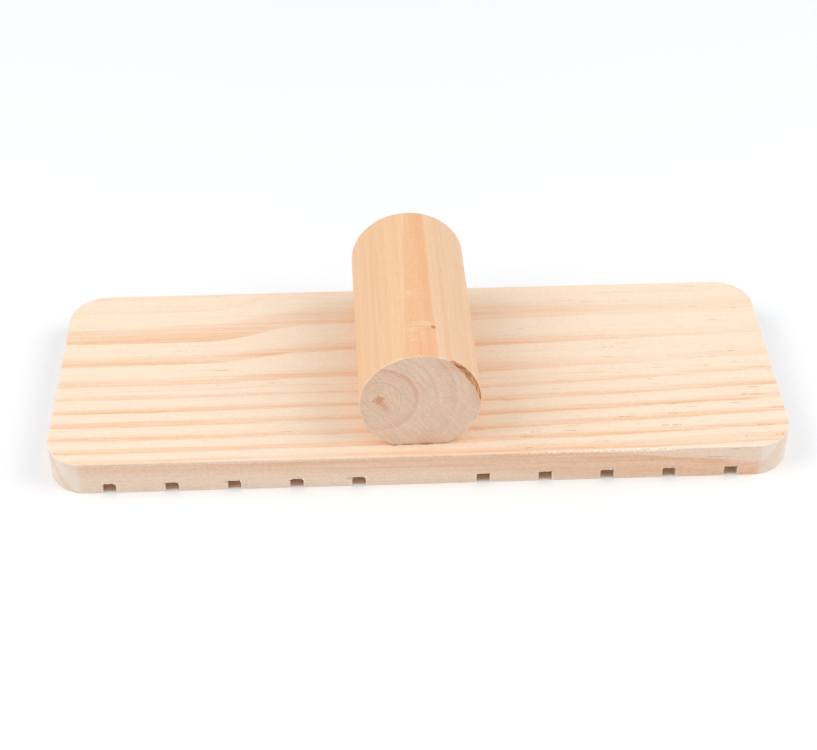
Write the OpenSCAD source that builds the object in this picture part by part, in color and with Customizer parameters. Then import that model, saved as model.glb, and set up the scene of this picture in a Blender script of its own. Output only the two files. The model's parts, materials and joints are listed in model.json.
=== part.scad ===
// Wood edge slicker: a flat slotted board with a round grip laid across it.
// The leather edge is rubbed along the slots under the board. Millimetres, +Z up.
// The origin is the middle of the board's underside; the board is long in X, the grip lies along Y.

/* [Board] */
// Length of the board, along X
board_length = 240; // [200:1:300]
// Width of the board, along Y
board_width = 87; // [80:1:120]
// Thickness of the board
board_thickness = 12.4; // [10:0.1:20]
// Radius of the four corners, seen from above
corner_radius = 12.5; // [5:0.5:20]

/* [Slots] */
// Distance from one slot to the next
slot_pitch = 20; // [18:0.5:22]
// Width of each slot
slot_width = 4.3; // [3:0.1:6]
// Depth of each slot, up from the underside
slot_depth = 3.7; // [2:0.1:5]
// Slots on each side of the uncut middle land
slots_per_side = 5; // [1:1:5]

/* [Grip] */
// Diameter of the round stock that the grip is cut from
grip_diameter = 38.6; // [30:0.1:45]
// Length of the grip, along Y
grip_length = 77; // [70:1:80]
// Depth of the flat planed along the grip, where it meets the board
flat_depth = 2.3; // [1.5:0.1:5]
// How far the grip is turned from square with the board, in degrees
grip_skew = 1.2; // [0:0.1:2]
// How far the grip's middle sits from the board's middle, along X
grip_shift_x = -0.8; // [-1:0.1:1]
// How far the grip's middle sits from the board's middle, along Y
grip_shift_y = 0.6; // [-1:0.1:1]
// Thickness of the glue between the flat and the board
glue_thickness = 0.15; // [0.1:0.05:0.3]

/* [Screws] */
// Distance between the two screws, along Y
screw_spacing = 44; // [30:1:50]
// Length of each screw, from the top of its head to its point
screw_length = 32; // [25:1:35]
// Outside diameter of the thread and the shank
screw_diameter = 4.2; // [3.5:0.1:4.5]
// Diameter of the countersunk head
head_diameter = 8; // [7:0.1:9]
// How far the head lies above the board's underside
head_sink = 0.8; // [0.5:0.1:1.5]

/* [Hidden] */
$fn = 96;
eps = 0.5;
grip_radius = grip_diameter / 2;
flat_height = grip_radius - flat_depth;
flat_half_width = sqrt(grip_radius * grip_radius - flat_height * flat_height);
grip_base = board_thickness + glue_thickness;
screw_radius = screw_diameter / 2;
head_radius = head_diameter / 2;
head_rim = 0.4;
head_cone = head_radius - screw_radius;
shank_clearance = 0.1;
point_length = 5;
point_radius = 0.3;
recess_width = 1.1;
recess_length = 4.4;
recess_depth = 2;
pine = [0.95, 0.82, 0.66];
grip_pine = [0.93, 0.77, 0.58];
dried_glue = [0.82, 0.66, 0.45];
zinc = [0.72, 0.73, 0.74];

// A plate with four round corners, standing on z = 0
module round_cornered_plate(length, width, thickness, radius) {
    translate([-length / 2, -width / 2 + radius, 0])
        cube([length, width - 2 * radius, thickness]);
    translate([-length / 2 + radius, -width / 2, 0])
        cube([length - 2 * radius, width, thickness]);
    for (side = [-1, 1], end = [-1, 1])
        translate([end * (length / 2 - radius), side * (width / 2 - radius), 0])
            cylinder(h = thickness, r = radius);
}

// One straight slot right across the underside, centred on x = 0
module slot_cut() {
    translate([-slot_width / 2, -board_width / 2 - eps, -eps])
        cube([slot_width, board_width + 2 * eps, slot_depth + eps]);
}

// Places a child at both screws
module at_screws() {
    for (side = [-1, 1])
        translate([0, side * screw_spacing / 2, 0])
            children();
}

// The countersunk clearance hole that a screw passes through in the board
module board_screw_hole() {
    translate([0, 0, -eps])
        cylinder(h = head_sink + head_rim + eps, r = head_radius);
    translate([0, 0, head_sink + head_rim])
        cylinder(h = head_cone, r1 = head_radius, r2 = screw_radius);
    cylinder(h = board_thickness + eps, r = screw_radius + shank_clearance);
}

// The threaded length and point of a screw, from height start up
module screw_body(start) {
    tip = head_sink + screw_length;
    translate([0, 0, start])
        cylinder(h = tip - point_length - start, r = screw_radius);
    translate([0, 0, tip - point_length])
        cylinder(h = point_length, r1 = screw_radius, r2 = point_radius);
}

// The cross recess in the top of a screw's head
module cross_recess() {
    for (turn = [0, 90])
        rotate([0, 0, turn])
            translate([-recess_length / 2, -recess_width / 2, head_sink - eps])
                cube([recess_length, recess_width, recess_depth + eps]);
}

// One countersunk wood screw, head down, on the Z axis
module wood_screw() {
    difference() {
        union() {
            translate([0, 0, head_sink])
                cylinder(h = head_rim, r = head_radius);
            translate([0, 0, head_sink + head_rim])
                cylinder(h = head_cone, r1 = head_radius, r2 = screw_radius);
            screw_body(head_sink + head_rim + head_cone);
        }
        cross_recess();
    }
}

// Puts a child in the grip's own place: shifted and turned on the board
module in_grip_place() {
    translate([grip_shift_x, grip_shift_y, 0])
        rotate([0, 0, grip_skew])
            children();
}

// The slotted board
module board() {
    color(pine)
        difference() {
            round_cornered_plate(board_length, board_width, board_thickness, corner_radius);
            for (side = [-1, 1], step = [1 : slots_per_side])
                translate([side * step * slot_pitch, 0, 0])
                    slot_cut();
            at_screws() board_screw_hole();
        }
}

// The round grip, with its flat down on the glue
module grip() {
    color(grip_pine)
        difference() {
            in_grip_place()
                difference() {
                    translate([0, grip_length / 2, grip_base + flat_height])
                        rotate([90, 0, 0])
                            cylinder(h = grip_length, r = grip_radius, $fn = 180);
                    translate([-grip_radius, -grip_length / 2 - eps, grip_base - grip_radius])
                        cube([2 * grip_radius, grip_length + 2 * eps, grip_radius]);
                }
            at_screws() screw_body(grip_base - eps);
        }
}

// The film of glue that covers the flat
module glue_film() {
    color(dried_glue)
        difference() {
            in_grip_place()
                translate([-flat_half_width, -grip_length / 2, board_thickness])
                    cube([2 * flat_half_width, grip_length, glue_thickness]);
            at_screws()
                translate([0, 0, board_thickness - eps])
                    cylinder(h = glue_thickness + 2 * eps, r = screw_radius);
        }
}

// The screw nearer the front edge
module front_screw() {
    color(zinc)
        translate([0, -screw_spacing / 2, 0])
            wood_screw();
}

// The screw nearer the rear edge
module rear_screw() {
    color(zinc)
        translate([0, screw_spacing / 2, 0])
            wood_screw();
}

board();
grip();
glue_film();
front_screw();
rear_screw();
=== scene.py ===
import json
import math
import random

import bmesh
import bpy
from mathutils import Matrix, Vector, noise


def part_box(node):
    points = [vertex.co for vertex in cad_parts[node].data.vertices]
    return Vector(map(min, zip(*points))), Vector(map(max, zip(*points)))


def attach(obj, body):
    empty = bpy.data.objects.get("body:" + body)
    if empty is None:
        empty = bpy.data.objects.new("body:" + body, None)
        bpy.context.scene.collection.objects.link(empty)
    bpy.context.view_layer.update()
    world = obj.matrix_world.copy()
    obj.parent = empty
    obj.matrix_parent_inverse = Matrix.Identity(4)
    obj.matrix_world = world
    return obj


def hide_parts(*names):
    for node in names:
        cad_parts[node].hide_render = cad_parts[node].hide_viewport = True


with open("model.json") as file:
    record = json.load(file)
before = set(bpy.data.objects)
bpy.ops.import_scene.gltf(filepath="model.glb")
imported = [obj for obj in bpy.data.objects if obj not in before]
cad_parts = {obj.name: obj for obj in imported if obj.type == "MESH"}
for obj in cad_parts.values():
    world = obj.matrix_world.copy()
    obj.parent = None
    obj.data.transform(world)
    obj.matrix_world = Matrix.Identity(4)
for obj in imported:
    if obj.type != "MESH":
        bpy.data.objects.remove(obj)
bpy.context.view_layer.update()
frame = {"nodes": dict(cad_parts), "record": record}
mm = 0.001
print("frame loaded:", sorted(frame["nodes"]))


class Number:
    # a number inside a node tree: plain arithmetic with it adds Math nodes to that tree
    def __init__(self, socket):
        self.socket = socket
        self.id_data = socket.id_data

    def __add__(self, other):
        return calc("ADD", self, other)

    def __sub__(self, other):
        return calc("SUBTRACT", self, other)

    def __rsub__(self, other):
        return calc("SUBTRACT", other, self)

    def __mul__(self, other):
        return calc("MULTIPLY", self, other)

    def __truediv__(self, other):
        return calc("DIVIDE", self, other)

    def __pow__(self, other):
        return calc("POWER", self, other)

    def __neg__(self):
        return calc("MULTIPLY", self, -1.0)

    def __abs__(self):
        return calc("ABSOLUTE", self)

    def __lt__(self, other):
        return calc("LESS_THAN", self, other)

    def __gt__(self, other):
        return calc("GREATER_THAN", self, other)

    __radd__ = __add__
    __rmul__ = __mul__


def treeOf(*values):
    # the node tree that owns the first number or socket among the values
    return next(value.id_data for value in values if isinstance(value, (Number, bpy.types.NodeSocket)))


def addNode(tree, kind, **settings):
    node = tree.nodes.new(kind)
    for name, value in settings.items():
        setattr(node, name, value)
    return node


def feed(socket, value):
    # a number or a socket is linked, a plain value is typed in
    if isinstance(value, Number):
        value = value.socket
    if isinstance(value, bpy.types.NodeSocket):
        socket.id_data.links.new(value, socket)
    elif value is not None:
        socket.default_value = value


def filled(tree, kind, inputs=(), **settings):
    # a new node with its sockets filled by name or by number
    node = addNode(tree, kind, **settings)
    for key, value in dict(inputs).items():
        feed(node.inputs[key], value)
    return node


def calc(operation, *values):
    node = filled(treeOf(*values), "ShaderNodeMath", enumerate(values), operation=operation)
    return Number(node.outputs[0])


def larger(a, b):
    return calc("MAXIMUM", a, b)


def smaller(a, b):
    return calc("MINIMUM", a, b)


def clamped(number):
    # kept between 0 and 1
    number.socket.node.use_clamp = True
    return number


def hypotenuse(a, b):
    return calc("SQRT", a * a + b * b)


def ramp(value, low, high, outLow=0.0, outHigh=1.0, kind="SMOOTHSTEP"):
    node = filled(treeOf(value), "ShaderNodeMapRange", {
        "Value": value, "From Min": low, "From Max": high, "To Min": outLow, "To Max": outHigh},
        interpolation_type=kind)
    return Number(node.outputs["Result"])


def splitXyz(vector):
    node = filled(treeOf(vector), "ShaderNodeSeparateXYZ", {0: vector})
    return [Number(socket) for socket in node.outputs]


def joinXyz(x=0.0, y=0.0, z=0.0):
    return filled(treeOf(x, y, z), "ShaderNodeCombineXYZ", {0: x, 1: y, 2: z}).outputs[0]


def vectorMath(operation, first, second):
    inputs = {"Scale" if operation == "SCALE" else 1: second, 0: first}
    node = filled(treeOf(first, second), "ShaderNodeVectorMath", inputs, operation=operation)
    return Number(node.outputs["Value"]) if operation == "DOT_PRODUCT" else node.outputs[0]


def cloud(vector, scale=1.0, detail=2.0, rough=0.5, distortion=0.0):
    # Perlin noise, about 0.5 in the middle
    node = filled(treeOf(vector), "ShaderNodeTexNoise", {
        "Vector": vector, "Scale": scale, "Detail": detail, "Roughness": rough, "Distortion": distortion})
    return Number(node.outputs["Fac"])


def grain(vector, scale, detail=3.0, rough=0.5, distortion=0.0):
    # the same noise, longer one way than the other
    return cloud(stretch(vector, scale), 1.0, detail, rough, distortion)


def stretch(vector, scale):
    return vectorMath("MULTIPLY", vector, scale)


def mixColour(share, first, second, blend="MIX"):
    node = filled(treeOf(share, first, second), "ShaderNodeMix", {0: share},
                  data_type="RGBA", blend_type=blend, clamp_factor=True)
    feed(node.inputs[6], first)
    feed(node.inputs[7], second)
    return node.outputs[2]


def named(sockets):
    # sockets by their label; the ones that hold a single value can be used in sums
    return {socket.name: Number(socket) for socket in sockets}


def newGroup(name, inputs, outputs):
    # inputs: {label: (socket type, value)}, outputs: {label: socket type}
    group = bpy.data.node_groups.new(name, "ShaderNodeTree")
    for label, (kind, value) in inputs.items():
        socket = group.interface.new_socket(label, in_out="INPUT", socket_type="NodeSocket" + kind)
        if value is not None:
            socket.default_value = value
    for label, kind in outputs.items():
        group.interface.new_socket(label, in_out="OUTPUT", socket_type="NodeSocket" + kind)
    given = named(group.nodes.new("NodeGroupInput").outputs)
    return group, given, group.nodes.new("NodeGroupOutput").inputs


def placeGroup(group, **values):
    # a group's socket "Face Distance" is given here as faceDistance=...
    node = addNode(treeOf(*values.values()), "ShaderNodeGroup", node_tree=group)
    for socket in node.inputs:
        words = socket.name.split()
        feed(socket, values.get(words[0].lower() + "".join(words[1:])))
    return named(node.outputs)


def srgb(red, green, blue):
    # a colour picked, 0 to 255, as the linear value that Blender wants
    def linear(v):
        v = v / 255
        return v / 12.92 if v <= 0.04045 else ((v + 0.055) / 1.055) ** 2.4
    return (linear(red), linear(green), linear(blue), 1.0)


def newTree(name, numbers, others):
    # after the geometry: labels of the plain numbers, then {label: socket type}, then the material
    tree = bpy.data.node_groups.new(name, "GeometryNodeTree")
    tree.is_modifier = True
    tree.interface.new_socket("Geometry", in_out="INPUT", socket_type="NodeSocketGeometry")
    tree.interface.new_socket("Geometry", in_out="OUTPUT", socket_type="NodeSocketGeometry")
    inputs = {**dict.fromkeys(numbers.split(", "), "Float"), **others, "Material": "Material"}
    for label, kind in inputs.items():
        tree.interface.new_socket(label, in_out="INPUT", socket_type="NodeSocket" + kind)
    given = named(tree.nodes.new("NodeGroupInput").outputs)
    return tree, given, tree.nodes.new("NodeGroupOutput").inputs


def addTree(piece, tree, values):
    modifier = piece.modifiers.new(tree.name, "NODES")
    modifier.node_group = tree
    for item in tree.interface.items_tree:
        if item.in_out == "INPUT" and item.name in values:
            modifier[item.identifier] = values[item.name]


def geo(tree, kind, inputs=(), **settings):
    return filled(tree, "GeometryNode" + kind, inputs, **settings).outputs[0]


def gather(tree, *parts):
    node = addNode(tree, "GeometryNodeJoinGeometry")
    for part in parts:
        feed(node.inputs[0], part)
    return node.outputs[0]


def lift(tree, shape, height):
    return geo(tree, "Transform", {0: shape, "Translation": joinXyz(0.0, 0.0, height)})


def unite(tree, *parts):
    node = addNode(tree, "GeometryNodeMeshBoolean", operation="UNION", solver="EXACT")
    for part in parts:
        feed(node.inputs[1], part)
    return node.outputs[0]


def cutOut(tree, shape, tool, tangled=False):
    # tangled: parts of the tool run into each other
    return geo(tree, "MeshBoolean", {0: shape, 1: tool, "Self Intersection": tangled},
               operation="DIFFERENCE", solver="EXACT")


def swept(tree, path, profile, size, closed=False):
    # a profile drawn along a path, as thick as size says at each point
    return geo(tree, "CurveToMesh", {
        "Curve": path, "Profile Curve": profile, "Scale": size, "Fill Caps": closed})


def cylinder(tree, sides, radius, depth):
    return geo(tree, "MeshCylinder", {"Vertices": sides, "Radius": radius, "Depth": depth})


def taperedCone(tree, sides, bottom, top, depth):
    return geo(tree, "MeshCone", {
        "Vertices": sides, "Radius Top": top, "Radius Bottom": bottom, "Depth": depth})


def shapeOf(tree, helper):
    # the geometry of a helper object
    node = filled(tree, "GeometryNodeObjectInfo", {0: helper}, transform_space="ORIGINAL")
    return node.outputs["Geometry"]


def atScrews(tree, spacing, shape):
    # the shape twice, at both screws of a piece whose middle is at the origin
    pair = geo(tree, "MeshLine", {"Count": 2, "Offset": joinXyz(0.0, spacing),
                                  "Start Location": joinXyz(0.0, spacing * -0.5)})
    both = geo(tree, "InstanceOnPoints", {"Points": pair, "Instance": shape})
    return geo(tree, "RealizeInstances", {0: both})


def randomVector(tree, low, high, seed):
    return filled(tree, "FunctionNodeRandomValue", {0: low, 1: high, "Seed": seed},
                  data_type="FLOAT_VECTOR").outputs[0]


def closeTree(tree, end, shape, material):
    # every tree ends in plain geometry with its material
    real = geo(tree, "RealizeInstances", {0: shape})
    feed(end[0], geo(tree, "SetMaterial", {0: real, "Material": material}))


def newPiece(name, mesh=None):
    piece = bpy.data.objects.new(name, mesh or bpy.data.meshes.new(name))
    bpy.context.scene.collection.objects.link(piece)
    return piece


def settle(piece, sharpAngle):
    # modifiers become a plain mesh, smooth up to the given angle
    graph = bpy.context.evaluated_depsgraph_get()
    mesh = bpy.data.meshes.new_from_object(piece.evaluated_get(graph), depsgraph=graph)
    piece.modifiers.clear()
    piece.data = mesh
    mesh.name = piece.name
    mesh.polygons.foreach_set("use_smooth", [True] * len(mesh.polygons))
    mesh.set_sharp_from_angle(angle=math.radians(sharpAngle))
    print(piece.name, "settled:", len(mesh.polygons), "faces")


boardLow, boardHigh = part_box("board")
boardSize = boardHigh - boardLow
boardTop = boardHigh.z
openings = frame["record"]["physics"]["openings"]
slotPlaces = sorted((o["box_m"][0][0] + o["box_m"][1][0]) / 2 for o in openings)
slotPitch = slotPlaces[1] - slotPlaces[0]
film = [v.co.copy() for v in frame["nodes"]["glue_film"].data.vertices]
filmFrontLeft = min(film, key=lambda p: (round(p.y, 5), p.x))
filmRearLeft = min(film, key=lambda p: (round(p.x, 5), -p.y))
filmLow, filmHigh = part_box("glue_film")
gripLow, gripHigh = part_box("grip")
gripAxis = Vector((filmRearLeft.x - filmFrontLeft.x, filmRearLeft.y - filmFrontLeft.y, 0))
gripLength = gripAxis.length
gripSkew = math.atan2(-gripAxis.x, gripAxis.y)
flatHalf = ((filmHigh.x - filmLow.x) - gripLength * math.sin(gripSkew)) / (2 * math.cos(gripSkew))
gripHeight = gripHigh.z - gripLow.z
gripRadius = (gripHeight ** 2 + flatHalf ** 2) / (2 * gripHeight)
gripCentre = Vector(((filmLow.x + filmHigh.x) / 2, (filmLow.y + filmHigh.y) / 2, gripHigh.z - gripRadius))
gripTurn = Matrix.Rotation(gripSkew, 4, "Z")
gripPlace = Matrix.Translation(gripCentre) @ gripTurn
print("grip: radius %.2f mm, length %.2f mm, skew %.2f degrees"
      % (gripRadius / mm, gripLength / mm, math.degrees(gripSkew)))


def makeGrowthBand():
    # one year's dark latewood: it comes in softly and ends sharply at Edge
    group, given, out = newGroup("growthBand", {
        "Across": ("Float", 0.0), "Edge": ("Float", 0.0), "Soft": ("Float", 3.0),
        "Depth": ("Float", 1.0), "Body": ("Float", 1.2), "Crisp": ("Float", 0.25)}, {"Band": "Float"})
    past = given["Across"] - given["Edge"]
    fade = clamped(1.0 - past / given["Soft"])
    shape = fade ** given["Body"]
    start = ramp(past, -given["Crisp"], given["Crisp"])
    feed(out["Band"], shape * start * given["Depth"])
    return group


def makeFibre():
    # fibres run along X of Place, which is in millimetres
    group, given, out = newGroup(
        "pineFibre", {"Place": ("Vector", None), "Canal Amount": ("Float", 0.2)},
        dict.fromkeys(("Streaks", "Fine", "Mottle", "Canals", "Ticks"), "Float"))
    place = given["Place"]
    feed(out["Streaks"], grain(place, (0.016, 0.75, 0.75), 5.0, 0.66, 0.2))
    feed(out["Fine"], grain(place, (0.13, 2.6, 2.6), 3.0, 0.65))
    feed(out["Mottle"], grain(place, (0.022, 0.05, 0.05), 2.0, 0.5))
    # resin canals: the rare peaks of a long thin noise
    peaks = grain(place, (0.10, 1.9, 1.9), 1.5, 0.55)
    start = 0.8 - given["Canal Amount"] * 0.16
    feed(out["Canals"], ramp(peaks, start, start + 0.05))
    # short pale and dark ticks of cut fibre ends
    feed(out["Ticks"], grain(place, (0.9, 3.2, 3.2), 3.0, 0.75))
    return group


def makeResinDash():
    # one short dark line along X, where a resin canal was cut open
    group, given, out = newGroup("resinDash", {
        "Place": ("Vector", None), "Middle X": ("Float", 0.0), "Middle Y": ("Float", 0.0),
        "Half Length": ("Float", 3.0), "Half Width": ("Float", 0.3)}, {"Dash": "Float"})
    x, y, _ = splitXyz(given["Place"])
    stray = grain(given["Place"], (0.5, 0.9, 0.9), 2.0)
    alongIt = abs(x - given["Middle X"])
    offIt = abs(stray * 0.7 + y - given["Middle Y"] - 0.35)
    ends = ramp(alongIt / given["Half Length"], 1.0, 0.35)
    width = given["Half Width"] * (ends * 0.8 + 0.4)
    broken = ramp(grain(given["Place"], (1.1, 1.5, 1.5), 2.0), 0.38, 0.55)
    inside = ramp(offIt / width, 1.6, 0.4)
    feed(out["Dash"], ends * inside * broken)
    return group


def makeSawn():
    # fine marks left by a blade, straight along X of Place; Place is in millimetres
    group, given, out = newGroup("sawnMarks", {
        "Place": ("Vector", None), "Pitch": ("Float", 0.9)}, {"Marks": "Float", "Fuzz": "Float"})
    parts = splitXyz(given["Place"])
    across = parts[1] / given["Pitch"]
    bent = across + cloud(given["Place"], 0.12, 1.0) * 1.4
    lines = cloud(joinXyz(parts[0] * 0.07, bent, 0.0), 1.0, 3.0, 0.7)
    feed(out["Marks"], lines)
    feed(out["Fuzz"], grain(given["Place"], (1.9, 1.9, 1.9), 3.0, 0.7))
    return group


def makeArrisWear():
    # 1 on an edge, 0 inside the faces; the two distances are from the two faces that meet there
    group, given, out = newGroup("arrisWear", {
        "Place": ("Vector", None), "Side Distance": ("Float", 0.0), "Face Distance": ("Float", 0.0),
        "Width": ("Float", 0.6)}, {"Wear": "Float"})
    nearest = larger(given["Side Distance"], given["Face Distance"])
    uneven = given["Width"] * ramp(cloud(given["Place"], 0.35, 3.0, 0.6), 0.3, 0.75, 0.35, 1.4, "LINEAR")
    feed(out["Wear"], ramp(nearest / uneven, 1.0, 0.2))
    return group


growthBand = makeGrowthBand()
pineFibre = makeFibre()
resinDash = makeResinDash()
sawnMarks = makeSawn()
arrisWear = makeArrisWear()


def millimetres(tree):
    # the piece's own place, in millimetres, and the way its surface faces
    coordinates = addNode(tree, "ShaderNodeTexCoord").outputs
    return stretch(coordinates["Object"], (1 / mm, 1 / mm, 1 / mm)), coordinates["Normal"]


def turned(vector, degrees):
    node = filled(treeOf(vector), "ShaderNodeMapping", {
        "Vector": vector, "Rotation": (0, 0, math.radians(degrees))}, vector_type="POINT")
    return node.outputs[0]


def newMaterial(name, roughness, specular=0.4):
    material = bpy.data.materials.new(name)
    material.use_nodes = True
    tree = material.node_tree
    shader = tree.nodes["Principled BSDF"]
    shader.inputs["Roughness"].default_value = roughness
    shader.inputs["Specular IOR Level"].default_value = specular
    return material, tree, shader


def addBands(across, rings, swell, **extra):
    # the strongest of several years at each point; swell makes a year wider or thinner along its length
    total = None
    for edge, soft, depth, body in rings:
        year = placeGroup(growthBand, across=across, edge=edge, soft=swell * soft, depth=depth,
                          body=body, **extra)["Band"]
        total = year if total is None else larger(total, year)
    return total


def addRelief(tree, shader, heights):
    # heights: [(height socket, millimetres of relief)], added up into one bump
    total = None
    for height, depth in heights:
        part = height * depth
        total = part if total is None else total + part
    bump = addNode(tree, "ShaderNodeBump")
    bump.inputs["Strength"].default_value = 1.0
    bump.inputs["Distance"].default_value = mm
    feed(bump.inputs["Height"], total)
    feed(shader.inputs["Normal"], bump.outputs["Normal"])


boardShape = {
    "Corner Radius": 12.5 * mm,
    "Slot Width": 4.3 * mm,
    "Slot Depth": 3.7 * mm,
    "Worn Corner": 1.15 * mm,     # the left slots were cut with a rounded tool
    "Crisp Corner": 0.25 * mm,
    "Hole Diameter": 4.4 * mm,
    "Head Diameter": 8.0 * mm,
    "Head Rim": 0.4 * mm,
    "Head Cone": 1.9 * mm,
    "Seed": 4,
}
boardEdges = {
    "cornerSteps": 28,
    "slotCornerSteps": 6,
    "holeSides": 48,
    "slotLean": 0.012,            # radians either way
    "slotScale": [(0.97, 0.985, 1), (1.01, 1.01, 1)],     # the smallest and the largest slot
    "eased": 0.28 * mm,
    "easedAngle": 50,             # degrees; flatter corners stay as they are
    "smoothAngle": 14,
}

boardFigure = {
    # each year: where its sharp edge lies across the board, how wide it is, how dark, its fullness
    "rings": [(48.0, 3.0, 0.25, 1.0), (41.3, 2.4, 0.20, 1.0), (33.6, 4.0, 0.18, 1.0),
              (16.9, 9.6, 0.80, 0.40), (5.2, 5.0, 0.85, 0.65), (-5.7, 3.9, 0.70, 0.60),
              (-8.7, 1.0, 0.40, 1.0), (-12.3, 1.9, 0.70, 0.70), (-19.2, 2.6, 0.78, 0.60),
              (-26.0, 2.8, 0.78, 0.60), (-32.6, 2.8, 0.78, 0.60), (-38.7, 2.6, 0.88, 0.60),
              (-43.9, 2.8, 0.68, 0.60), (-45.2, 1.8, 0.80, 0.50)],
    # how far a ring moves to the front for each millimetre down
    "leanLeft": 0.37,
    "leanRight": 0.43,
    # left of the grip the rings climb to the back: between which x, by how much at least, how much
    # more for each millimetre further back, and from where
    "climbX": (-77.0, -31.0),
    "climb": 0.5,
    "climbMore": 0.215,
    "climbFrom": -10.0,
    # on the right they drift to the back: between which x, and how suddenly
    "driftX": (-5.0, 120.0),
    "driftPower": 1.35,
    "driftMost": 5.75,
    "wobble": 1.2,                # millimetres that the rings wander, slowly and quickly
    "shiver": 0.9,
    # resin canals cut open on the top: middle x and y, half length, half width
    "dashes": [(105, 4.4, 6.0, 0.16), (66, 8.2, 4.6, 0.16), (-66, 1.3, 6.5, 0.15),
               (110, -18.2, 6.5, 0.22), (118, -25.0, 4.4, 0.22), (83, -26.6, 2.8, 0.2),
               (67, -27.6, 4.0, 0.2), (82, -32.2, 6.6, 0.2), (49, -33.6, 4.4, 0.18),
               (34, -36.0, 3.4, 0.2), (37, -33.8, 2.2, 0.15), (35, -41.2, 4.0, 0.2),
               (58, -39.0, 5.0, 0.15), (106, -38.4, 2.6, 0.2), (116, -38.0, 2.2, 0.2),
               (112, -33.2, 5.0, 0.2), (-80, 12.2, 5.0, 0.12), (-47, -5.9, 4.4, 0.12),
               (-42, -30.2, 4.5, 0.15), (96, -3.0, 5.0, 0.12)],
    "early": srgb(248, 228, 205),
    "late": srgb(241, 191, 149),
    "pink": srgb(238, 200, 170),
    "endGrain": srgb(236, 221, 208),
    "endLate": srgb(222, 184, 150),
    "canal": srgb(214, 150, 96),
    "torn": srgb(250, 240, 222),
    "sawn": (0.900, 0.850, 0.845),   # the two long edges are rougher, so darker and browner
    "sawAngle": 58,                  # the saw marks on the cut ends
    "sawPitch": 0.8,
    "resin": 0.6,
    "mouthRim": 0.75,                # pale rims round the slot mouths: wear, with a painted highlight on the edges
    # torn fibres on the top front edge: between which x they begin, between which they end
    "furryX": (14.0, 58.0, 78.0, 84.0),
    "furry": 0.85,
}


def boardRingPlace(place):
    # across-the-board coordinate that follows the growth rings through the whole block
    x, y, z = splitXyz(place)
    depthDown = boardTop / mm - z
    lean = ramp(x, -30.0, 10.0, boardFigure["leanLeft"], boardFigure["leanRight"])
    s = depthDown * lean + y
    climb = larger(s - boardFigure["climbFrom"], 0.0) * boardFigure["climbMore"] + boardFigure["climb"]
    climb = climb * ramp(x, *boardFigure["climbX"], kind="SMOOTHERSTEP")
    # the middle rows drift most
    drift = smaller(5.32 - s * 0.105, boardFigure["driftMost"])
    drift = smaller(drift, y * 0.094 + 8.2) + depthDown * 0.12
    drift = drift * ramp(x, *boardFigure["driftX"], kind="LINEAR") ** boardFigure["driftPower"]
    wobble = grain(place, (0.022, 0.035, 0.035), 2.0, 0.5) - 0.5
    shiver = grain(place, (0.12, 0.7, 0.7), 3.0, 0.6) - 0.5
    return s - climb - drift + wobble * boardFigure["wobble"] + shiver * boardFigure["shiver"]


def shade(colour, tone):
    # a colour made lighter or darker by one number
    return mixColour(1.0, colour, joinXyz(tone, tone, tone), "MULTIPLY")


def speckle(colour, pattern, dark, pale, spread=0.25):
    # a colour darkened and paled by a noise that lies round one half
    return shade(colour, ramp(pattern, 0.5 - spread, 0.5 + spread, dark, pale, "LINEAR"))


def outlineDistance(x, y):
    # how far in from the board's rounded outline, in millimetres
    corner = boardShape["Corner Radius"] / mm
    overX = abs(x) - (boardSize.x / 2 / mm - corner)
    overY = abs(y) - (boardSize.y / 2 / mm - corner)
    outside = hypotenuse(larger(overX, 0.0), larger(overY, 0.0))
    inside = smaller(larger(overX, overY), 0.0)
    return corner - (outside + inside)


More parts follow.
